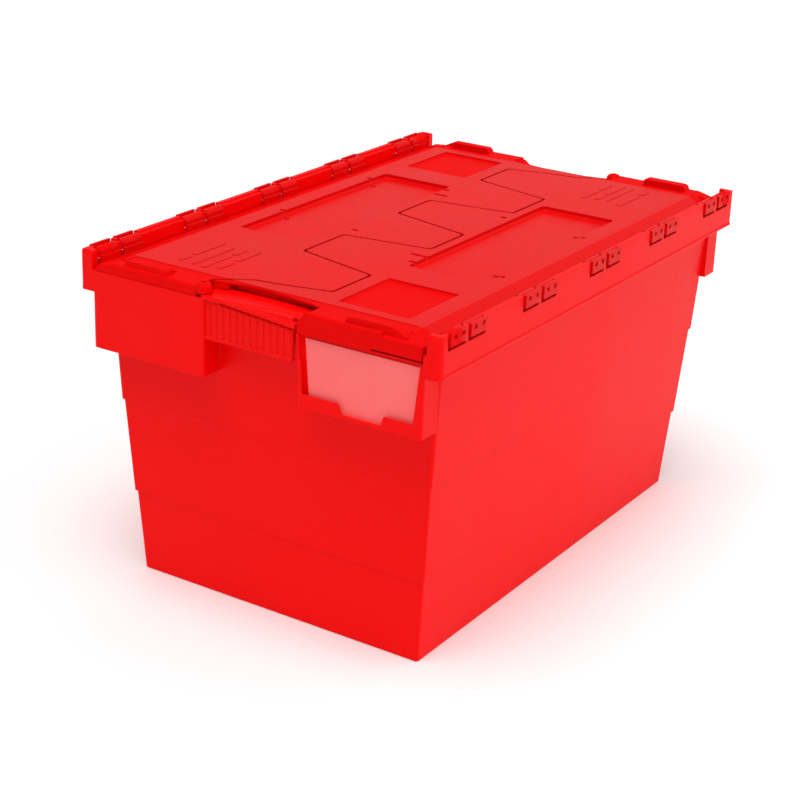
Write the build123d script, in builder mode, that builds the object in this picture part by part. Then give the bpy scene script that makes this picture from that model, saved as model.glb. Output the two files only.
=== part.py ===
from build123d import *
import os

os.makedirs("parts", exist_ok=True)

# Attached lid tote. Millimetres, +Z up, origin at the middle of the underside.
# X is the width, Y the length. The tote is the same after half a turn about Z.

# ---- tub wall: three tapered tiers, each a little wider than the one below
BASE_X = 162.6
BASE_Y = 256.4
FOOT_R = 1.0
INNER_CORNER_R = 2.0
WALL = 3.0
FLOOR = 3.5
RIM_Z = 320.6
# bottom height, top height, growth of the half size at both, corner radius at both
TIERS = (
    (0.0, 86.0, 0.0, 5.5, 2.5, 2.5),
    (86.0, 184.0, 7.2, 13.3, 2.5, 2.5),
    (184.0, RIM_Z, 14.9, 23.3, 3.0, 8.5),
)

# ---- long rails and ends
HALF_Y = 300.0
RAIL_X = 198.0
RAIL_LOW_Z = 299.6
RAIL_TOP_Z = 339.0
RAIL_SHOULDER_Z = 337.0
RAIL_INNER_X = 188.0
RAIL_LIP_X = 193.0
RAIL_CORNER_R = 8.0
RAIL_TIP_R = 1.5
RAIL_END_R = 4.0
BEAD_X = 199.0
BEAD_TOP_Z = 303.0
PILLAR_X = 185.3
PILLAR_FOOT_X = 182.0
PILLAR_T = 8.0
WEB_TOP_Z = 320.5

# ---- hinges
AXIS_X = 192.0
AXIS_Z = 333.0
CLUSTERS = (-256.0, -128.0, 0.0, 128.0, 256.0)
KNUCKLE_NEAR = 2.7
KNUCKLE_FAR = 30.6
KNUCKLE_GAP = 1.2
KNUCKLE_R = 5.5
KNUCKLE_REACH = 10.1
PLATE_X = (197.0, 200.0)
PLATE_Z = (327.4, 339.6)
WINDOW_X = 198.3
NOTCH_R = 10.4
NOTCH_LOW_Z = 323.6
END_PLAY = 0.5
ROD_R = 2.0
TUB_BORE_R = 2.03
KNUCKLE_BORE_R = 2.08
ROD_END_Y = 296.0

# ---- tub ends (front end described, the back one is turned half a turn)
END_T = 3.0
BLOCK_IN_Y = -274.0
PLAIN_BLOCK_LOW_Z = 244.4
PLAIN_BLOCK_X = -53.0
PLAIN_OUT_X = 186.5
PLAIN_CORNER_R = 6.0
CARD_OUT_X = 182.6
CARD_BLOCK_LOW_Z = 242.2
CARD_BLOCK_TOP_Z = 310.5
CARD_BLOCK_LOW_X = 53.2
CARD_BLOCK_TOP_X = 49.5
CARD_CORNER_R = 3.5
FLANGE_Z = 323.5
FLANGE_RIGHT_X = 48.0
GRIP_LEFT_X = -53.0
GRIP_RIGHT_X = 44.5
GRIP_LOW_Z = 282.0
GRIP_Y = -297.0
GRIP_RIB_TOP_Z = 317.0
GRIP_RIBS = 13
GROOVE_TOP_Z = 320.5
GROOVE_H = 3.0
GROOVE_START_X = -38.0
LIP_FALL = 6.5
FRAME_T = 1.8
SLOT_T = 4.0
CARD_T = 1.2
CARD_BACK_T = 3.0
TIE_HOLE_R = 2.2
TIE_HOLE_X = 58.5
TIE_HOLE_Y = 292.0

# ---- lid
LID_Z = 332.0
LID_END_Z = 331.2
LID_END_Y = 268.0
LID_T = 2.7
SKIRT_Z = 320.8
SEAM_GAP = 2.8
SEAM_R = 5.0
LEAF_X = 161.0
LEAF_END_Y = 299.3
GUTTER_LOW_Z = 321.0
GUTTER_TOP_Z = 324.0
GUTTER_START_X = 174.0
GUTTER_X = 186.3
GUTTER_END_Y = 291.5
CAP_X = 179.6
CAP_IN_Y = 284.0
CAP_LOW_Z = 311.0
CAP_RIGHT_LOW_Z = 314.0
CAP_EDGE_Z = 326.5
RECESS_X = (57.0, 141.0)
RECESS_Y = 132.0
RECESS_FLOOR_Z = 327.0
POCKET_X = (64.0, 140.0)
POCKET_Y = (-257.0, -173.0)
POCKET_FLOOR_Z = 329.5
NICK_HALF_Y = 2.3
NICK_DEPTH = 2.0
DRAIN_X = 132.0
DRAIN_Y = (-94.0, 66.0)
DRAIN_R = 2.2
DRAIN_DISH_R = 3.6
DRAIN_DISH_DEPTH = 1.2
TROUGH_FLOOR_Z = 328.2


def box(x_span, y_span, z_span, mode=Mode.ADD):
    """A box between two limits on each axis."""
    centre = [(low + high) / 2 for low, high in (x_span, y_span, z_span)]
    size = [abs(high - low) for low, high in (x_span, y_span, z_span)]
    with Locations(tuple(centre)):
        Box(*size, mode=mode)


def profile_along_y(points, y_low, y_high, mode=Mode.ADD):
    """A polygon of (X, Z) points run from one Y to another."""
    with BuildSketch(Plane.XZ.offset(-y_high)) as profile:
        with BuildLine():
            Polyline(*points, close=True)
        make_face()
    extrude(profile.sketch, amount=y_high - y_low, mode=mode)


def profile_along_x(points, x_low, x_high, mode=Mode.ADD):
    """A polygon of (Y, Z) points run from one X to another."""
    with BuildSketch(Plane.YZ.offset(x_low)) as profile:
        with BuildLine():
            Polyline(*points, close=True)
        make_face()
    extrude(profile.sketch, amount=x_high - x_low, mode=mode)


def tier_block(z_span, growth, corners, mode=Mode.ADD):
    """One tapered tier between two heights."""
    with BuildSketch(Plane.XY.offset(z_span[0])) as low_section:
        RectangleRounded(2 * (BASE_X + growth[0]), 2 * (BASE_Y + growth[0]), corners[0])
    with BuildSketch(Plane.XY.offset(z_span[1])) as high_section:
        RectangleRounded(2 * (BASE_X + growth[1]), 2 * (BASE_Y + growth[1]), corners[1])
    loft((low_section.sketch, high_section.sketch), mode=mode)


def lip_slope(start_depth, end_depth):
    """Cuts the flange's front edge down, deeper and deeper towards the card block."""
    sections = []
    for x, depth in ((GROOVE_START_X, start_depth), (FLANGE_RIGHT_X, end_depth)):
        with BuildSketch(Plane.YZ.offset(x)) as section:
            with BuildLine():
                Polyline((-HALF_Y - 1, FLANGE_Z + 0.01), (-HALF_Y - 1, FLANGE_Z - depth), (2.4 * depth - HALF_Y, FLANGE_Z + 0.01), close=True)
            make_face()
        sections.append(section.sketch)
    loft(sections, ruled=True, mode=Mode.SUBTRACT)


# ================================================================ one end of the tub
with BuildPart() as tub_end:
    # plain block on the left and card block on the right, both solid for now
    block_y = (-HALF_Y, BLOCK_IN_Y)
    box((-PLAIN_OUT_X, PLAIN_BLOCK_X), block_y, (PLAIN_BLOCK_LOW_Z, WEB_TOP_Z))
    profile_along_y(
        (
            (CARD_BLOCK_LOW_X, CARD_BLOCK_LOW_Z),
            (CARD_OUT_X, CARD_BLOCK_LOW_Z),
            (CARD_OUT_X, CARD_BLOCK_TOP_Z),
            (CARD_BLOCK_TOP_X, CARD_BLOCK_TOP_Z),
        ),
        -HALF_Y,
        BLOCK_IN_Y,
    )
    front_edges = edges().filter_by(lambda e: e.center().Y < 1 - HALF_Y and e.length > 60)
    upright = front_edges.filter_by(lambda e: abs(e.tangent_at(0.5).Z) > 0.9).sort_by(Axis.X)
    fillet(upright[0], radius=PLAIN_CORNER_R)
    fillet(upright[1:3], radius=2.0)
    fillet(upright[3], radius=CARD_CORNER_R)

    # hollow both blocks from below, the card block behind the plate that backs the card
    box(
        (END_T - PLAIN_OUT_X, PLAIN_BLOCK_X - END_T),
        (END_T - HALF_Y, BLOCK_IN_Y + 1),
        (PLAIN_BLOCK_LOW_Z - 5, WEB_TOP_Z - END_T),
        mode=Mode.SUBTRACT,
    )
    profile_along_y(
        (
            (CARD_BLOCK_LOW_X + END_T, CARD_BLOCK_LOW_Z - 5),
            (CARD_OUT_X - END_T, CARD_BLOCK_LOW_Z - 5),
            (CARD_OUT_X - END_T, CARD_BLOCK_TOP_Z - END_T),
            (CARD_BLOCK_TOP_X + END_T, CARD_BLOCK_TOP_Z - END_T),
        ),
        -HALF_Y + FRAME_T + SLOT_T + CARD_BACK_T,
        BLOCK_IN_Y + 1,
        mode=Mode.SUBTRACT,
    )

    # web that joins the plain block's outer side to the wall's rounded corner
    web_y = (BLOCK_IN_Y - END_T, BLOCK_IN_Y + 2.0)
    box((-PLAIN_OUT_X, -172.0), web_y, (PLAIN_BLOCK_LOW_Z, WEB_TOP_Z))

    # slot that takes the card from above, and the window in front of it
    profile_along_y(
        ((56.4, 244.2), (177.6, 244.2), (180.4, 311.0), (52.0, 311.0)),
        -HALF_Y + FRAME_T,
        -HALF_Y + FRAME_T + SLOT_T,
        mode=Mode.SUBTRACT,
    )
    profile_along_y(
        (
            (52.2, 311.0),
            (53.4, 287.0),
            (55.2, 285.0),
            (57.2, 255.0),
            (96.0, 255.0),
            (99.0, 245.6),
            (141.0, 245.6),
            (144.0, 255.0),
            (174.0, 255.0),
            (179.3, 311.0),
        ),
        -HALF_Y - 1,
        -HALF_Y + FRAME_T + 0.1,
        mode=Mode.SUBTRACT,
    )

    # flange over the grip
    flange_z = (FLANGE_Z - END_T, FLANGE_Z)
    box((PLAIN_BLOCK_X - END_T, FLANGE_RIGHT_X), (-HALF_Y, -276.9), flange_z)
    box((-44.5, 55.5), (-277.5, -269.0), flange_z)
    lip = edges().filter_by(Axis.X).filter_by(lambda e: e.center().Z > FLANGE_Z - 0.1)
    fillet(lip.sort_by(Axis.Y)[0], radius=1.2)

    # the flange's front lip falls towards the card block
    profile_along_y(
        (
            (GROOVE_START_X, GROOVE_TOP_Z + 1),
            (GROOVE_START_X, GROOVE_TOP_Z),
            (FLANGE_RIGHT_X, GROOVE_TOP_Z - LIP_FALL),
            (FLANGE_RIGHT_X, GROOVE_TOP_Z + 1),
        ),
        -HALF_Y,
        GRIP_Y + 1,
    )
    lip_slope(0.05, LIP_FALL)

    # ribbed grip, held from behind, with a groove under the flange's lip
    grip_x = (GRIP_LEFT_X, GRIP_RIGHT_X)
    box(grip_x, (GRIP_Y, GRIP_Y + END_T), (GRIP_LOW_Z, FLANGE_Z - 1))
    box(grip_x, (GRIP_Y + END_T - 1, GRIP_Y + 2 * END_T), (304.0, FLANGE_Z - 1))
    profile_along_y(
        (
            (GROOVE_START_X, GROOVE_TOP_Z - GROOVE_H),
            (GROOVE_START_X, GROOVE_TOP_Z),
            (FLANGE_RIGHT_X, GROOVE_TOP_Z - LIP_FALL),
            (FLANGE_RIGHT_X, GROOVE_TOP_Z - LIP_FALL - GROOVE_H),
        ),
        -HALF_Y - 1,
        GRIP_Y + END_T,
        mode=Mode.SUBTRACT,
    )
    box(grip_x, (GRIP_Y - 1.6, GRIP_Y + 4), (GRIP_LOW_Z, GRIP_LOW_Z + 3))
    rib_pitch = (GRIP_RIGHT_X - GRIP_LEFT_X) / GRIP_RIBS
    for index in range(GRIP_RIBS):
        rib_x = GRIP_LEFT_X + (index + 0.5) * rib_pitch
        fall = LIP_FALL * max(0.0, (rib_x - GROOVE_START_X) / (FLANGE_RIGHT_X - GROOVE_START_X))
        box((rib_x - 1.7, rib_x + 1.7), (GRIP_Y - 0.9, GRIP_Y + 1), (GRIP_LOW_Z + 1, GRIP_RIB_TOP_Z - fall))

    # hole in the plain block's top for a tie or seal
    with Locations((-TIE_HOLE_X, -TIE_HOLE_Y, WEB_TOP_Z - 1.5)):
        Cylinder(TIE_HOLE_R, 5.0, mode=Mode.SUBTRACT)

# ================================================================ tub
with BuildPart() as tub:
    # rails: a hanging skin with a beaded foot, a web to the wall and a solid top for the hinge rod
    rail = (
        (184.0, WEB_TOP_Z - END_T),
        (RAIL_X - END_T, WEB_TOP_Z - END_T),
        (RAIL_X - END_T, RAIL_LOW_Z),
        (BEAD_X, RAIL_LOW_Z),
        (BEAD_X, BEAD_TOP_Z - 1),
        (RAIL_X, BEAD_TOP_Z),
        (RAIL_X, RAIL_TOP_Z),
        (RAIL_LIP_X, RAIL_TOP_Z),
        (RAIL_LIP_X, RAIL_SHOULDER_Z),
        (RAIL_INNER_X, RAIL_SHOULDER_Z),
        (RAIL_INNER_X, WEB_TOP_Z),
        (184.0, WEB_TOP_Z),
    )
    profile_along_y(rail, -HALF_Y, HALF_Y)
    profile_along_y([(-x, z) for x, z in rail], -HALF_Y, HALF_Y)
    for sign_x in (-1, 1):
        for sign_y in (-1, 1):
            end_span = (sign_y * (HALF_Y - PILLAR_T), sign_y * HALF_Y)
            box((sign_x * PILLAR_FOOT_X, sign_x * RAIL_X), end_span, (RAIL_LOW_Z, WEB_TOP_Z))
            box((sign_x * PILLAR_X, sign_x * RAIL_X), end_span, (WEB_TOP_Z - 1, RAIL_TOP_Z))
    top_ends = edges().filter_by(Axis.X).filter_by(lambda e: e.center().Z > RAIL_TOP_Z - 0.1)
    outer_ends = top_ends.filter_by(lambda e: abs(e.center().Y) > HALF_Y - 0.1)
    fillet(outer_ends, radius=RAIL_END_R)
    rail_feet = edges().filter_by(Axis.Y).filter_by(lambda e: abs(e.center().Z - RAIL_LOW_Z) < 0.1)
    fillet(rail_feet.filter_by(lambda e: abs(e.center().X) > BEAD_X - 0.1), radius=1.2)

    # upright corners at the rail ends: well rounded on one diagonal, tight on the other
    for sign_x, sign_y, radius in (
        (1, -1, RAIL_CORNER_R),
        (-1, 1, RAIL_CORNER_R),
        (-1, -1, RAIL_TIP_R),
        (1, 1, RAIL_TIP_R),
    ):
        corner_x = RAIL_X - radius
        corner_y = HALF_Y - radius
        with BuildSketch(Plane.XY.offset(RAIL_LOW_Z - 1)):
            with Locations((sign_x * (corner_x + 5), sign_y * (corner_y + 5))):
                Rectangle(10, 10)
            with Locations((sign_x * corner_x, sign_y * corner_y)):
                Circle(radius, mode=Mode.SUBTRACT)
        extrude(amount=50.0, mode=Mode.SUBTRACT)

    # both ends
    with PolarLocations(0, 2):
        add(tub_end.part)

    # wall tiers and foot
    for z_low, z_high, grow_low, grow_high, corner_low, corner_high in TIERS:
        tier_block((z_low, z_high), (grow_low, grow_high), (corner_low, corner_high))
    fillet(faces().sort_by(Axis.Z)[0].edges(), radius=FOOT_R)

    # inside of the tub, stepped like the outside
    for index, (z_low, z_high, grow_low, grow_high, corner_low, corner_high) in enumerate(TIERS):
        inner_span = (z_low + (FLOOR if index == 0 else WALL), z_high + (WALL if index < 2 else 0.0))
        inner_grow = (grow_low - WALL, grow_high - WALL)
        inner_corners = (INNER_CORNER_R, max(corner_high - WALL, INNER_CORNER_R))
        tier_block(inner_span, inner_grow, inner_corners, mode=Mode.SUBTRACT)

    # room for the hinge knuckles, the web that parts each pair, and the rod's bearings
    for sign_x in (-1, 1):
        for y in CLUSTERS:
            for sign_y in (-1, 1):
                middle = y + sign_y * (KNUCKLE_NEAR + KNUCKLE_FAR) / 2
                half_room = (KNUCKLE_FAR - KNUCKLE_NEAR) / 2 + END_PLAY
                with Locations(Location((sign_x * AXIS_X, middle, AXIS_Z), (90, 0, 0))):
                    Cylinder(NOTCH_R, 2 * half_room, mode=Mode.SUBTRACT)
                room_x = (sign_x * 194.5, sign_x * (RAIL_X + 1))
                room_y = (middle - half_room, middle + half_room)
                box(room_x, room_y, (NOTCH_LOW_Z, AXIS_Z), mode=Mode.SUBTRACT)
        with Locations(Location((sign_x * AXIS_X, 2.0, AXIS_Z), (90, 0, 0))):
            Cylinder(TUB_BORE_R, 2 * (HALF_Y - 2), mode=Mode.SUBTRACT)

tub.part.label = "tub"
export_step(tub.part, "parts/tub.step")


# ================================================================ lid leaf
# Middle line of the seam between the leaves, from the front end to the middle of the lid.
SEAM_FRONT = (
    (-61.2, -276.3),
    (-28.0, -255.0),
    (-4.0, -251.0),
    (46.0, -238.4),
    (46.0, -176.7),
    (-46.0, -154.7),
    (-46.0, -87.0),
    (46.0, -72.9),
    (46.0, -10.9),
)
SEAM = SEAM_FRONT + tuple((-x, -y) for x, y in reversed(SEAM_FRONT))
HALF_GAP = SEAM_GAP / 2
# Outline of the right leaf, drawn half a seam gap too large all round.
LEAF_OUTLINE = (
    (LEAF_X + HALF_GAP, -LEAF_END_Y - HALF_GAP),
    (59.2, -LEAF_END_Y - HALF_GAP),
    (59.2, -279.0),
    (48.0, -276.2),
    (20.0, -271.9),
    (-2.0, -269.9),
    (-24.6, -270.2),
    (-68.1, -280.73),
    *SEAM,
    (61.2, LEAF_END_Y + HALF_GAP),
    (LEAF_X + HALF_GAP, LEAF_END_Y + HALF_GAP),
)


def leaf_prism(inset, corner, z_low, z_high, mode=Mode.ADD):
    """The leaf's outline moved inwards, its seam corners rounded, run between two heights."""
    with BuildSketch(Plane.XY.offset(z_low)) as outline:
        with BuildLine():
            Polyline(*LEAF_OUTLINE, close=True)
        make_face()
        offset(amount=-inset, kind=Kind.INTERSECTION)
        seam_corners = outline.vertices().filter_by(lambda v: abs(v.X) < 50 and abs(v.Y) < 245)
        fillet(seam_corners, radius=corner)
    extrude(outline.sketch, amount=z_high - z_low, mode=mode)


def recess(x_span, y_span, floor_z, corner):
    """A sunk panel with a floor as thick as the lid and a rounded foot to its walls."""
    middle = ((x_span[0] + x_span[1]) / 2, (y_span[0] + y_span[1]) / 2)
    size = (x_span[1] - x_span[0], y_span[1] - y_span[0])
    with BuildSketch(Plane.XY.offset(floor_z - LID_T)) as pan:
        with Locations(middle):
            RectangleRounded(size[0] + 2 * LID_T, size[1] + 2 * LID_T, corner + LID_T)
    extrude(pan.sketch, amount=LID_Z - floor_z + LID_T)
    with BuildPart() as hollow:
        with BuildSketch(Plane.XY.offset(floor_z)) as outline:
            with Locations(middle):
                RectangleRounded(*size, corner)
        extrude(outline.sketch, amount=LID_Z - floor_z + 1)
        fillet(hollow.faces().sort_by(Axis.Z)[0].edges(), radius=corner / 2)
    add(hollow.part, mode=Mode.SUBTRACT)


def boss(centre, radius, z_span, rim):
    """An upright round boss with a domed top."""
    with BuildPart() as post:
        with Locations((*centre, (z_span[0] + z_span[1]) / 2)):
            Cylinder(radius, z_span[1] - z_span[0])
        fillet(post.edges().filter_by(GeomType.CIRCLE).sort_by(Axis.Z)[-1], radius=rim)
    add(post.part)


with BuildPart() as lid_leaf_right:
    # plate, a little lower at both ends, and the caps over the tub's ends, solid for now
    leaf_prism(HALF_GAP, SEAM_R, SKIRT_Z, LID_Z)
    for sign_y in (-1, 1):
        end_zone = (sign_y * LID_END_Y, sign_y * HALF_Y)
        box((-70.0, CAP_X), end_zone, (LID_END_Z, LID_Z + 1), mode=Mode.SUBTRACT)
    profile_along_y(
        (
            (60.0, CAP_LOW_Z),
            (128.0, CAP_LOW_Z),
            (128.0, CAP_RIGHT_LOW_Z),
            (CAP_X, CAP_RIGHT_LOW_Z),
            (CAP_X, CAP_EDGE_Z),
            (60.0, CAP_EDGE_Z),
        ),
        -LEAF_END_Y,
        -CAP_IN_Y,
    )
    box((150.0, CAP_X), (CAP_IN_Y, LEAF_END_Y), (SKIRT_Z, CAP_EDGE_Z))
    for y_low, y_high in ((-LEAF_END_Y, -CAP_IN_Y), (CAP_IN_Y, LEAF_END_Y)):
        profile_along_y(
            ((150.0, 325.0), (CAP_X, 325.0), (CAP_X, CAP_EDGE_Z), (160.0, LID_END_Z), (150.0, LID_END_Z)),
            y_low,
            y_high,
        )
        profile_along_y(
            ((160.0, LID_END_Z), (CAP_X, CAP_EDGE_Z), (CAP_X, 340.0), (160.0, 340.0)),
            y_low,
            y_high,
            mode=Mode.SUBTRACT,
        )
    end_edges = edges().filter_by(lambda e: abs(abs(e.center().Y) - LEAF_END_Y) < 0.05)
    end_rims = end_edges.filter_by(lambda e: e.center().Z > CAP_EDGE_Z + 0.1)
    fillet(end_rims.filter_by(lambda e: abs(e.tangent_at(0.5).Z) < 0.9), radius=3.0)

    # hollow underside, with nothing hanging below the plate beside the gutter and over the handle
    leaf_prism(HALF_GAP + LID_T, 2.0, 300.0, LID_Z - LID_T, mode=Mode.SUBTRACT)
    box((158.0, CAP_X - LID_T), (-LEAF_END_Y + LID_T, -CAP_IN_Y + 0.5), (300.0, 322.8), mode=Mode.SUBTRACT)
    box((155.0, LEAF_X + 0.5), (-CAP_IN_Y, CAP_IN_Y), (300.0, LID_Z - LID_T), mode=Mode.SUBTRACT)
    box((-45.0, 57.0), (-281.0, -264.8), (300.0, LID_Z - LID_T), mode=Mode.SUBTRACT)
    box((-40.0, 61.0), (-266.5, -264.0), (SKIRT_Z, LID_Z - 1))

    # sloping side and gutter beside the hinges
    profile_along_y(
        (
            (157.0, LID_Z),
            (LEAF_X, LID_Z),
            (GUTTER_START_X, GUTTER_TOP_Z),
            (GUTTER_X, GUTTER_TOP_Z),
            (GUTTER_X, GUTTER_LOW_Z),
            (GUTTER_START_X - 0.4, GUTTER_LOW_Z),
            (160.2, LID_Z - LID_T),
            (157.0, LID_Z - LID_T),
        ),
        -CAP_IN_Y,
        CAP_IN_Y,
    )
    for sign_y in (-1, 1):
        gutter_end = (sign_y * (CAP_IN_Y - 1), sign_y * GUTTER_END_Y)
        box((GUTTER_START_X, GUTTER_X), gutter_end, (GUTTER_LOW_Z, GUTTER_TOP_Z))

    # cap corner that falls away to its front edge, right of the front lug
    box((137.0, CAP_X), (-LEAF_END_Y, -CAP_IN_Y), (322.8, LID_END_Z - 0.2))
    profile_along_x(
        ((-HALF_Y, CAP_EDGE_Z), (-286.0, LID_END_Z), (-286.0, 340.0), (-HALF_Y, 340.0)),
        139.0,
        CAP_X + 1,
        mode=Mode.SUBTRACT,
    )
    profile_along_y(
        ((160.0, LID_END_Z), (CAP_X, CAP_EDGE_Z), (CAP_X, 340.0), (160.0, 340.0)),
        -LEAF_END_Y,
        -CAP_IN_Y,
        mode=Mode.SUBTRACT,
    )

    # flared corner of the front cap beside the handle
    with BuildSketch(Plane.XZ.offset(281.0)):
        with BuildLine():
            Polyline((63.0, 311.0), (59.8, 311.0), (59.6, 321.5), (60.0, 331.2), (63.0, 331.2), close=True)
        make_face()
    with BuildSketch(Plane.XZ.offset(LEAF_END_Y)):
        with BuildLine():
            Polyline((63.0, 311.0), (50.5, 311.0), (49.6, 321.5), (58.5, 328.2), (63.0, 328.2), close=True)
        make_face()
    loft(ruled=True)

    # underside ribs
    for y in (-215.0, -150.0, 0.0, 150.0, 215.0):
        box((50.0, LEAF_X - 1), (y - 1, y + 1), (SKIRT_Z, LID_Z - 1))
    box((98.0, 100.0), (-265.0, 268.0), (SKIRT_Z, LID_Z - 1))
    box((68.0, 156.0), (270.0, 272.0), (SKIRT_Z, LID_END_Z - 1))
    box((68.0, 156.0), (-272.0, -270.0), (CAP_RIGHT_LOW_Z, LID_END_Z - 1))

    # sunk panel and square pocket
    recess(RECESS_X, (-RECESS_Y, RECESS_Y), RECESS_FLOOR_Z, 5.0)
    recess(POCKET_X, POCKET_Y, POCKET_FLOOR_Z, 2.0)
    for x_span, y in (
        ((39.0, 58.0), -97.0),
        ((50.0, 58.0), -118.0),
        ((43.0, 50.0), 67.0),
        ((137.0, 147.0), 56.0),
        ((137.0, 147.0), -104.0),
    ):
        box(x_span, (y - NICK_HALF_Y, y + NICK_HALF_Y), (LID_Z - NICK_DEPTH, LID_Z + 1), mode=Mode.SUBTRACT)
    for y in DRAIN_Y:
        with Locations((DRAIN_X, y, RECESS_FLOOR_Z)):
            Cylinder(DRAIN_R, 8.0, mode=Mode.SUBTRACT)
            Cylinder(DRAIN_DISH_R, 2 * DRAIN_DISH_DEPTH, mode=Mode.SUBTRACT)

    # troughs on the inner side of the stacking lugs
    for x_high, y_span in ((147.0, (-285.0, -278.0)), (149.0, (278.0, 285.0))):
        box((98.0, x_high + 2), (y_span[0] - 2, y_span[1] + 2), (TROUGH_FLOOR_Z - 2, LID_END_Z - 1))
        box((100.0, x_high), y_span, (TROUGH_FLOOR_Z, LID_Z), mode=Mode.SUBTRACT)

    # stacking lugs at both ends, the back one with a rounded nose
    lug_front = ((98.0, 326.0), (98.0, 330.0), (100.0, 334.5), (103.0, 336.6), (147.0, 336.6), (162.0, 329.6), (158.0, 326.0))
    lug_back = ((98.0, 330.0), (99.0, 335.8), (101.0, 336.6), (144.0, 336.6), (147.0, 335.0), (149.0, 330.0))
    profile_along_y(lug_front, -295.0, -285.0)
    profile_along_y(lug_back, 285.0, 296.5)
    box((98.0, 132.0), (-296.8, -295.6), (LID_END_Z - 1.5, LID_Z + 1), mode=Mode.SUBTRACT)
    boss((104.0, 293.5), 5.8, (326.5, 336.2), 2.5)

    # eyelet for a tie or seal, over the hole in the tub
    boss((TIE_HOLE_X, TIE_HOLE_Y), 8.0, (324.0, 333.4), 5.4)
    with Locations((TIE_HOLE_X, TIE_HOLE_Y, 329.6)):
        Cylinder(TIE_HOLE_R, 14.0, mode=Mode.SUBTRACT)

    # hinge knuckles: a barrel round the rod, an arm to the gutter and an outer plate with shallow windows
    for y in CLUSTERS:
        for sign_y in (-1, 1):
            ends = (y + sign_y * KNUCKLE_NEAR, y + sign_y * KNUCKLE_FAR)
            y_low = min(ends) + KNUCKLE_GAP
            y_high = max(ends)
            plate_x = (PLATE_X[0] + PLATE_X[1]) / 2
            with BuildSketch(Plane.XZ.offset(-y_high)):
                with Locations((plate_x, (PLATE_Z[0] + PLATE_Z[1]) / 2)):
                    Rectangle(PLATE_X[1] - PLATE_X[0], PLATE_Z[1] - PLATE_Z[0])
                with Locations((AXIS_X, AXIS_Z)):
                    Circle(KNUCKLE_REACH, mode=Mode.INTERSECT)
                    Circle(KNUCKLE_R)
                with Locations((195.0, AXIS_Z)):
                    Rectangle(6.0, 6.0)
                with Locations((185.8, 326.0)):
                    Rectangle(3.6, 10.0)
                with Locations((AXIS_X, AXIS_Z)):
                    Circle(KNUCKLE_BORE_R, mode=Mode.SUBTRACT)
            extrude(amount=y_high - y_low)
            for shift in (-6.5, 6.5):
                window_y = (y_low + y_high) / 2 + shift
                window_span = (window_y - 2.6, window_y + 2.6)
                box((WINDOW_X, PLATE_X[1] + 1), window_span, (333.4, 337.4), mode=Mode.SUBTRACT)

lid_leaf_right.part.label = "lid_leaf_right"
export_step(lid_leaf_right.part, "parts/lid_leaf_right.step")

with BuildPart() as lid_leaf_left:
    with Locations(Location((0, 0, 0), (0, 0, 180))):
        add(lid_leaf_right.part)
lid_leaf_left.part.label = "lid_leaf_left"
export_step(lid_leaf_left.part, "parts/lid_leaf_left.step")

# ================================================================ hinge rods
with BuildPart() as hinge_rod_right:
    with Locations(Location((AXIS_X, 0, AXIS_Z), (90, 0, 0))):
        Cylinder(ROD_R, 2 * ROD_END_Y)
    chamfer(edges().filter_by(GeomType.CIRCLE), length=0.4)
hinge_rod_right.part.label = "hinge_rod_right"
export_step(hinge_rod_right.part, "parts/hinge_rod_right.step")

with BuildPart() as hinge_rod_left:
    with Locations(Location((0, 0, 0), (0, 0, 180))):
        add(hinge_rod_right.part)
hinge_rod_left.part.label = "hinge_rod_left"
export_step(hinge_rod_left.part, "parts/hinge_rod_left.step")

# ================================================================ card in the front holder
with BuildPart() as label_card:
    card_back_y = -HALF_Y + FRAME_T + SLOT_T
    profile_along_y(
        ((62.8, 244.2), (177.2, 244.2), (179.6, 306.8), (57.2, 306.8)),
        card_back_y - CARD_T,
        card_back_y,
    )
label_card.part.label = "label_card"
export_step(label_card.part, "parts/label_card.step")
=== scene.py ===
"""Looks of the attached lid tote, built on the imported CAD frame."""

import math

import bmesh
import bpy
from mathutils import Matrix, Vector


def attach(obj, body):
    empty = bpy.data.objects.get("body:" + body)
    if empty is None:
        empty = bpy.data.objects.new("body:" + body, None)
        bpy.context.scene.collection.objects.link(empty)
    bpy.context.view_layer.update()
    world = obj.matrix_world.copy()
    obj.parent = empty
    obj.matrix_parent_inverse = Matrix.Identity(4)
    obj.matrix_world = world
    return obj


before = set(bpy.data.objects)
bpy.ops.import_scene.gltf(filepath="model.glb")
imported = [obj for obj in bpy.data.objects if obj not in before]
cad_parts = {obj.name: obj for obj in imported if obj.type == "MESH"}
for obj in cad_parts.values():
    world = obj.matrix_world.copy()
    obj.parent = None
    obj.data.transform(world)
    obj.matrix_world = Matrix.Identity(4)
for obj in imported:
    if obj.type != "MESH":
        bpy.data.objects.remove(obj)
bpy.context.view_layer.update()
scene = bpy.context.scene
MM = 0.001

# Colours of the red moulding. RED_LID and RED_TUB each go from deep to pale.
# RED_RUB_AND_HIGHLIGHT is the paler red laid along edges: partly rubbed wear, partly a painted
# highlight.
RED_RUB_AND_HIGHLIGHT = (0.96, 0.050, 0.050)
RED_LID = ((0.72, 0.0010, 0.0012), (0.77, 0.0016, 0.0020), (0.80, 0.0040, 0.0045))
RED_TUB = ((0.90, 0.0006, 0.0008), (0.93, 0.0012, 0.0016), (0.95, 0.0034, 0.0038))
RED_TEXTURED = (0.80, 0.0012, 0.0014)
# strength of the shine: smooth skin and spark textured skin
SPECULAR = 0.07
SPECULAR_TEXTURED = 0.035
# rub and painted edge highlight, grain and flow of the moulded skin: EDGE_TURN is the cosine where
# an edge starts and is full
EDGE_RADIUS = 0.0010
EDGE_TURN = (0.995, 0.80)
GRAIN_BUMP = 0.10
GRAIN_BUMP_TEXTURED = 0.55
GRAIN_HEIGHT = 0.00012
FLOW_BUMP = 0.12
FLOW_HEIGHT = 0.0010
TEXTURE_TINT = 0.8
TEXTURE_ROUGHNESS = 0.28
PLASTIC_IOR = 1.49
GLOSS_LID = 0.33
GLOSS_TUB = 0.36
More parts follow.
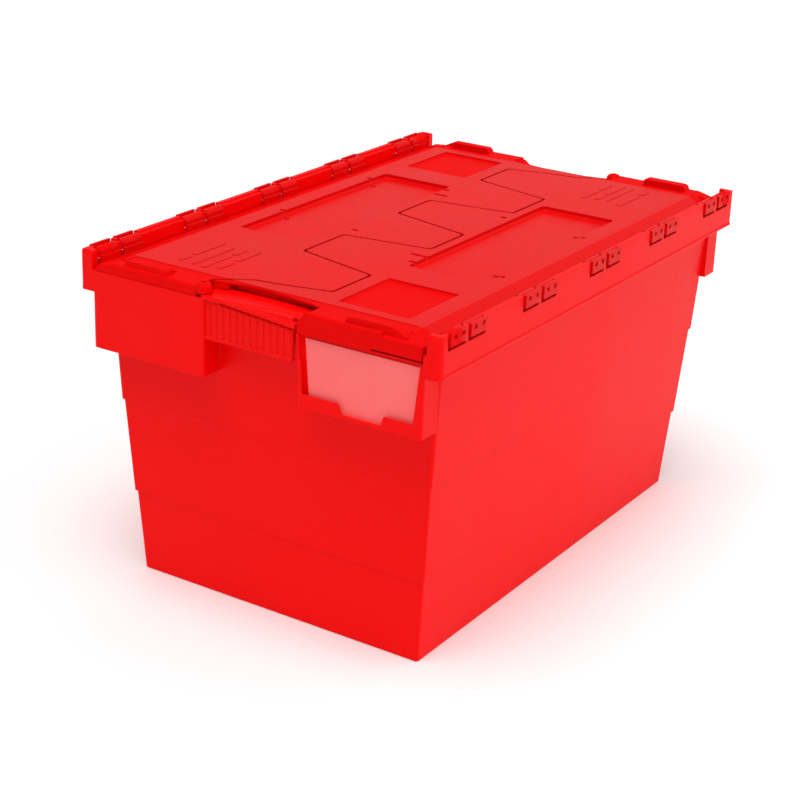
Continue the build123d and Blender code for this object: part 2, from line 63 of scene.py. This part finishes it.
# square pocket and end strips of the lid, in metres: spans are measured from the middle, the pocket
# lies below POCKET_DEPTH_Z and CORNER_SIGN tells by x times y which two corners have it
POCKET_SPAN_X = (0.0645, 0.1395)
POCKET_SPAN_Y = (0.1735, 0.2565)
POCKET_SOFT_EDGE = 0.0004
POCKET_DEPTH_Z = (0.3303, 0.3308)
CORNER_SIGN = (-0.0001, 0.0001)
END_STRIP_Y = (0.2676, 0.2682)


# ------------------------------------------------------------------ material helpers
def new_material(name):
    """An empty node material with its output and main shader."""
    mat = bpy.data.materials.new(name)
    mat.use_nodes = True
    nodes = mat.node_tree.nodes
    nodes.clear()
    out = nodes.new("ShaderNodeOutputMaterial")
    shader = nodes.new("ShaderNodeBsdfPrincipled")
    mat.node_tree.links.new(shader.outputs["BSDF"], out.inputs["Surface"])
    return mat, nodes, mat.node_tree.links, shader


def noise(nodes, links, vector, scale, detail, roughness=0.55):
    """A noise texture read at the given coordinates."""
    node = nodes.new("ShaderNodeTexNoise")
    node.inputs["Scale"].default_value = scale
    node.inputs["Detail"].default_value = detail
    node.inputs["Roughness"].default_value = roughness
    links.new(vector, node.inputs["Vector"])
    return node.outputs["Fac"]


def remap(nodes, links, value, low, high, to_low, to_high):
    """A value moved from one range to another, clamped."""
    node = nodes.new("ShaderNodeMapRange")
    numbers = (low, high, to_low, to_high)
    for socket, number in zip(("From Min", "From Max", "To Min", "To Max"), numbers):
        node.inputs[socket].default_value = number
    links.new(value, node.inputs["Value"])
    return node.outputs["Result"]


def mix_colour(nodes, links, factor, first, second):
    """Two colours mixed by a factor."""
    node = nodes.new("ShaderNodeMix")
    node.data_type = "RGBA"
    links.new(factor, node.inputs["Factor"])
    for socket, colour in ((node.inputs["A"], first), (node.inputs["B"], second)):
        if isinstance(colour, tuple):
            socket.default_value = (*colour, 1.0)
        else:
            links.new(colour, socket)
    return node.outputs["Result"]


def maths(nodes, links, operation, first, second):
    """A sum, product and so on of two values."""
    node = nodes.new("ShaderNodeMath")
    node.operation = operation
    for socket, value in zip(node.inputs, (first, second)):
        if isinstance(value, (int, float)):
            socket.default_value = value
        else:
            links.new(value, socket)
    return node.outputs["Value"]


def edge_mask(nodes, links, bevel):
    """1 along the object's outer edges, 0 on its flat faces."""
    geometry = nodes.new("ShaderNodeNewGeometry")
    dot = nodes.new("ShaderNodeVectorMath")
    dot.operation = "DOT_PRODUCT"
    links.new(bevel.outputs["Normal"], dot.inputs[0])
    links.new(geometry.outputs["Normal"], dot.inputs[1])
    return remap(nodes, links, dot.outputs["Value"], *EDGE_TURN, 0.0, 1.0)


def moulded_red(name, gloss, seed, lid):
    """Red moulded polypropylene: satin skin, fine grain, faint flow marks, edges paler from rubbed
    wear and a painted highlight.
    """
    mat, nodes, links, shader = new_material(name)
    coords = nodes.new("ShaderNodeTexCoord")
    shifted = nodes.new("ShaderNodeMapping")
    shifted.inputs["Location"].default_value = (seed, seed * 0.7, seed * 0.3)
    links.new(coords.outputs["Object"], shifted.inputs["Vector"])
    place = shifted.outputs["Vector"]
    flow = nodes.new("ShaderNodeMapping")
    flow.inputs["Scale"].default_value = (1.0, 1.0, 0.25)
    links.new(place, flow.inputs["Vector"])

    clouds = noise(nodes, links, flow.outputs["Vector"], 9.0, 4.0)
    mottle = noise(nodes, links, place, 60.0, 3.0)
    grain = noise(nodes, links, place, 1500.0, 2.0)
    scuffs = noise(nodes, links, place, 240.0, 5.0, 0.7)

    deep, middle, pale = RED_LID if lid else RED_TUB
    body = mix_colour(nodes, links, remap(nodes, links, clouds, 0.3, 0.7, 0.0, 1.0), deep, middle)
    body = mix_colour(nodes, links, remap(nodes, links, mottle, 0.55, 0.8, 0.0, 0.3), body, pale)
    bevel = nodes.new("ShaderNodeBevel")
    bevel.samples = 4
    bevel.inputs["Radius"].default_value = EDGE_RADIUS
    # Edges turn paler red, varied by the scuff noise: rubbed wear mixed with a painted highlight.
    rub_and_highlight_amount = remap(nodes, links, scuffs, 0.35, 0.65, 0.1, 0.6)
    rub_and_highlight = maths(nodes, links, "MULTIPLY", edge_mask(nodes, links, bevel), rub_and_highlight_amount)
    body = mix_colour(nodes, links, rub_and_highlight, body, RED_RUB_AND_HIGHLIGHT)

    skin = remap(nodes, links, clouds, 0.3, 0.7, gloss - 0.04, gloss + 0.05)
    rub = remap(nodes, links, scuffs, 0.52, 0.72, 0.0, 0.14)
    rough = maths(nodes, links, "ADD", skin, rub)
    bump = nodes.new("ShaderNodeBump")
    if lid:
        textured = lid_texture_mask(nodes, links, coords.outputs["Object"])
        tint = maths(nodes, links, "MULTIPLY", textured, TEXTURE_TINT)
        body = mix_colour(nodes, links, tint, body, RED_TEXTURED)
        coarser = maths(nodes, links, "MULTIPLY", textured, TEXTURE_ROUGHNESS)
        rough = maths(nodes, links, "ADD", rough, coarser)
        level = remap(nodes, links, textured, 0.0, 1.0, SPECULAR, SPECULAR_TEXTURED)
        links.new(level, shader.inputs["Specular IOR Level"])
        grain_depth = remap(nodes, links, textured, 0.0, 1.0, GRAIN_BUMP, GRAIN_BUMP_TEXTURED)
        links.new(grain_depth, bump.inputs["Strength"])
    else:
        shader.inputs["Specular IOR Level"].default_value = SPECULAR
        bump.inputs["Strength"].default_value = GRAIN_BUMP
    links.new(body, shader.inputs["Base Color"])
    links.new(rough, shader.inputs["Roughness"])
    shader.inputs["IOR"].default_value = PLASTIC_IOR

    bump.inputs["Distance"].default_value = GRAIN_HEIGHT
    links.new(grain, bump.inputs["Height"])
    links.new(bevel.outputs["Normal"], bump.inputs["Normal"])
    waves = nodes.new("ShaderNodeBump")
    waves.inputs["Strength"].default_value = FLOW_BUMP
    waves.inputs["Distance"].default_value = FLOW_HEIGHT
    links.new(clouds, waves.inputs["Height"])
    links.new(bump.outputs["Normal"], waves.inputs["Normal"])
    links.new(waves.outputs["Normal"], shader.inputs["Normal"])
    return mat


def lid_texture_mask(nodes, links, vector):
    """1 in the lid's square pockets and along its end strips, where the skin is spark textured."""
    split = nodes.new("ShaderNodeSeparateXYZ")
    links.new(vector, split.inputs["Vector"])
    x, y, z = (split.outputs[axis] for axis in "XYZ")
    across = maths(nodes, links, "ABSOLUTE", x, 0.0)
    along = maths(nodes, links, "ABSOLUTE", y, 0.0)
    corner = maths(nodes, links, "MULTIPLY", x, y)
    pocket = remap(nodes, links, corner, *CORNER_SIGN, 1.0, 0.0)
    for value, (low, high) in ((across, POCKET_SPAN_X), (along, POCKET_SPAN_Y)):
        past_low = remap(nodes, links, value, low - POCKET_SOFT_EDGE, low, 0.0, 1.0)
        before_high = remap(nodes, links, value, high, high + POCKET_SOFT_EDGE, 1.0, 0.0)
        pocket = maths(nodes, links, "MULTIPLY", pocket, past_low)
        pocket = maths(nodes, links, "MULTIPLY", pocket, before_high)
    below_skin = remap(nodes, links, z, *POCKET_DEPTH_Z, 1.0, 0.0)
    pocket = maths(nodes, links, "MULTIPLY", pocket, below_skin)
    ends = remap(nodes, links, along, *END_STRIP_Y, 0.0, 1.0)
    return maths(nodes, links, "MAXIMUM", pocket, ends)


def drawn_steel(name):
    """Zinc plated drawn wire: fine lines along its length and dull patches."""
    mat, nodes, links, shader = new_material(name)
    coords = nodes.new("ShaderNodeTexCoord")
    stretch = nodes.new("ShaderNodeMapping")
    stretch.inputs["Scale"].default_value = (1.0, 0.02, 1.0)
    links.new(coords.outputs["Object"], stretch.inputs["Vector"])
    lines = noise(nodes, links, stretch.outputs["Vector"], 2500.0, 3.0)
    patches = noise(nodes, links, coords.outputs["Object"], 120.0, 4.0)
    zinc = mix_colour(nodes, links, patches, (0.50, 0.51, 0.53), (0.68, 0.69, 0.70))
    links.new(zinc, shader.inputs["Base Color"])
    shader.inputs["Metallic"].default_value = 1.0
    links.new(remap(nodes, links, patches, 0.3, 0.7, 0.28, 0.45), shader.inputs["Roughness"])
    bump = nodes.new("ShaderNodeBump")
    bump.inputs["Strength"].default_value = 0.2
    bump.inputs["Distance"].default_value = 0.00005
    links.new(lines, bump.inputs["Height"])
    links.new(bump.outputs["Normal"], shader.inputs["Normal"])
    return mat


def card_paper(name):
    """Salmon card: fibres, a slightly uneven dye and a matt face."""
    mat, nodes, links, shader = new_material(name)
    coords = nodes.new("ShaderNodeTexCoord")
    stretch = nodes.new("ShaderNodeMapping")
    stretch.inputs["Scale"].default_value = (0.35, 1.0, 1.0)
    links.new(coords.outputs["Object"], stretch.inputs["Vector"])
    fibres = noise(nodes, links, stretch.outputs["Vector"], 1800.0, 4.0, 0.7)
    dye = noise(nodes, links, coords.outputs["Object"], 45.0, 3.0)
    tint = mix_colour(nodes, links, dye, (0.98, 0.135, 0.132), (1.00, 0.165, 0.162))
    flecks = remap(nodes, links, fibres, 0.5, 0.75, 0.0, 0.3)
    tint = mix_colour(nodes, links, flecks, tint, (0.99, 0.23, 0.22))
    links.new(tint, shader.inputs["Base Color"])
    shader.inputs["Roughness"].default_value = 0.82
    bump = nodes.new("ShaderNodeBump")
    bump.inputs["Strength"].default_value = 0.25
    bump.inputs["Distance"].default_value = 0.00008
    links.new(fibres, bump.inputs["Height"])
    links.new(bump.outputs["Normal"], shader.inputs["Normal"])
    return mat


def dress(node_name, material):
    """Gives a CAD node its material."""
    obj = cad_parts[node_name]
    obj.data.materials.clear()
    obj.data.materials.append(material)


lid_red_right = moulded_red("red_lid_right", GLOSS_LID, 3.1, True)
lid_red_left = moulded_red("red_lid_left", GLOSS_LID, 7.7, True)
dress("tub", moulded_red("red_tub", GLOSS_TUB, 0.0, False))
dress("lid_leaf_right", lid_red_right)
dress("lid_leaf_left", lid_red_left)
dress("hinge_rod_right", drawn_steel("zinc_rod_right"))
dress("hinge_rod_left", drawn_steel("zinc_rod_left"))
dress("label_card", card_paper("salmon_card"))


# ------------------------------------------------------------------ raised marks on the lid
# Plain raised bars stand where the lid carries moulded marks: X span and Y span of each, in mm.
MARK_BARS = (
    ((72.0, 78.0), (186.0, 222.0)),
    ((72.0, 78.0), (228.0, 250.0)),
    ((86.0, 92.0), (190.0, 208.0)),
    ((86.0, 92.0), (214.0, 256.0)),
    ((100.0, 103.0), (192.0, 254.0)),
    ((116.0, 122.0), (184.0, 230.0)),
    ((116.0, 122.0), (236.0, 252.0)),
)
MARK_LOW = 331.6
MARK_TOP = 332.5
MARK_SOFT_EDGE = 0.0004


def mark_bars(name, turn, material, body):
    """Low bars with soft edges on one leaf, turned by an angle about the upright axis."""
    mesh = bpy.data.meshes.new(name)
    shape = bmesh.new()
    height = (MARK_TOP - MARK_LOW) * MM
    for (x_low, x_high), (y_low, y_high) in MARK_BARS:
        size = Matrix.Diagonal(((x_high - x_low) * MM, (y_high - y_low) * MM, height, 1.0))
        middle = Vector((x_low + x_high, y_low + y_high, MARK_LOW + MARK_TOP)) * (MM / 2)
        bmesh.ops.create_cube(shape, size=1.0, matrix=Matrix.Translation(middle) @ size)
    bmesh.ops.bevel(shape, geom=shape.edges[:], offset=MARK_SOFT_EDGE, segments=2, affect="EDGES")
    about_z = Matrix.Rotation(turn, 3, "Z")
    bmesh.ops.rotate(shape, verts=shape.verts[:], cent=(0.0, 0.0, 0.0), matrix=about_z)
    shape.to_mesh(mesh)
    shape.free()
    mesh.materials.append(material)
    bars = bpy.data.objects.new(name, mesh)
    scene.collection.objects.link(bars)
    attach(bars, body)


mark_bars("lid_marks_right", 0.0, lid_red_right, "lid_right")
mark_bars("lid_marks_left", math.pi, lid_red_left, "lid_left")


# ------------------------------------------------------------------ floor
def floor_material():
    """Pale matt floor with a barely uneven tone."""
    mat, nodes, links, shader = new_material("pale_floor")
    coords = nodes.new("ShaderNodeTexCoord")
    tone = noise(nodes, links, coords.outputs["Object"], 3.0, 3.0)
    pale = mix_colour(nodes, links, tone, (0.93, 0.93, 0.93), (0.96, 0.96, 0.96))
    links.new(pale, shader.inputs["Base Color"])
    shader.inputs["Roughness"].default_value = 0.9
    shader.inputs["Specular IOR Level"].default_value = 0.1
    return mat


FLOOR_SIZE = 30.0
FLOOR_Z = -0.0004
bpy.ops.mesh.primitive_plane_add(size=FLOOR_SIZE, location=(0.0, 0.0, FLOOR_Z))
floor = bpy.context.object
floor.name = "studio_floor"
floor.data.materials.append(floor_material())

# ------------------------------------------------------------------ light
# The room is brightest toward BRIGHT_SIDE: to the right of the tote, behind it and overhead.
BRIGHT_SIDE = (0.78, 0.42, 0.46)
SKY_STRENGTH = (0.36, 0.70)
world = bpy.data.worlds.new("studio")
scene.world = world
world.use_nodes = True
sky = world.node_tree.nodes
sky_links = world.node_tree.links
sky_place = sky.new("ShaderNodeTexCoord")
sky_side = sky.new("ShaderNodeVectorMath")
sky_side.operation = "DOT_PRODUCT"
sky_side.inputs[1].default_value = Vector(BRIGHT_SIDE).normalized()
sky_links.new(sky_place.outputs["Generated"], sky_side.inputs[0])
sky_strength = remap(sky, sky_links, sky_side.outputs["Value"], -0.6, 1.0, *SKY_STRENGTH)
sky_links.new(sky_strength, sky["Background"].inputs["Strength"])
sky["Background"].inputs["Color"].default_value = (1.0, 1.0, 1.0, 1.0)


def soft_sun(name, toward, softness, strength):
    """A distant soft light, the same all over the floor."""
    data = bpy.data.lights.new(name, "SUN")
    data.angle = softness
    data.energy = strength
    light = bpy.data.objects.new(name, data)
    light.rotation_mode = "QUATERNION"
    light.rotation_quaternion = Vector(toward).to_track_quat("-Z", "Y")
    scene.collection.objects.link(light)


soft_sun("key", (-0.05, 0.28, -0.96), 0.8, 2.0)
soft_sun("side", (-0.93, -0.25, -0.27), 0.9, 0.40)

scene.view_settings.view_transform = "Standard"
scene.view_settings.look = "None"

# ------------------------------------------------------------------ camera
# angles in radians: about the upright axis, down from level, and about the line of sight
YAW = 0.561
PITCH = 0.381
ROLL = 0.038
LENS = 85.6
SENSOR_WIDTH = 36.0
CAMERA_AT = (0.9633, -1.5779, 0.8796)
ahead = math.cos(PITCH)
forward = Vector((-math.sin(YAW) * ahead, math.cos(YAW) * ahead, -math.sin(PITCH)))
right = Vector((math.cos(YAW), math.sin(YAW), 0.0))
up = right.cross(forward)
cam_x = math.cos(ROLL) * right + math.sin(ROLL) * up
cam_y = math.cos(ROLL) * up - math.sin(ROLL) * right
camera_data = bpy.data.cameras.new("camera")
camera_data.sensor_width = SENSOR_WIDTH
camera_data.lens = LENS
camera = bpy.data.objects.new("camera", camera_data)
camera.matrix_world = Matrix((cam_x, cam_y, -forward)).transposed().to_4x4()
camera.location = CAMERA_AT
scene.collection.objects.link(camera)
scene.camera = camera
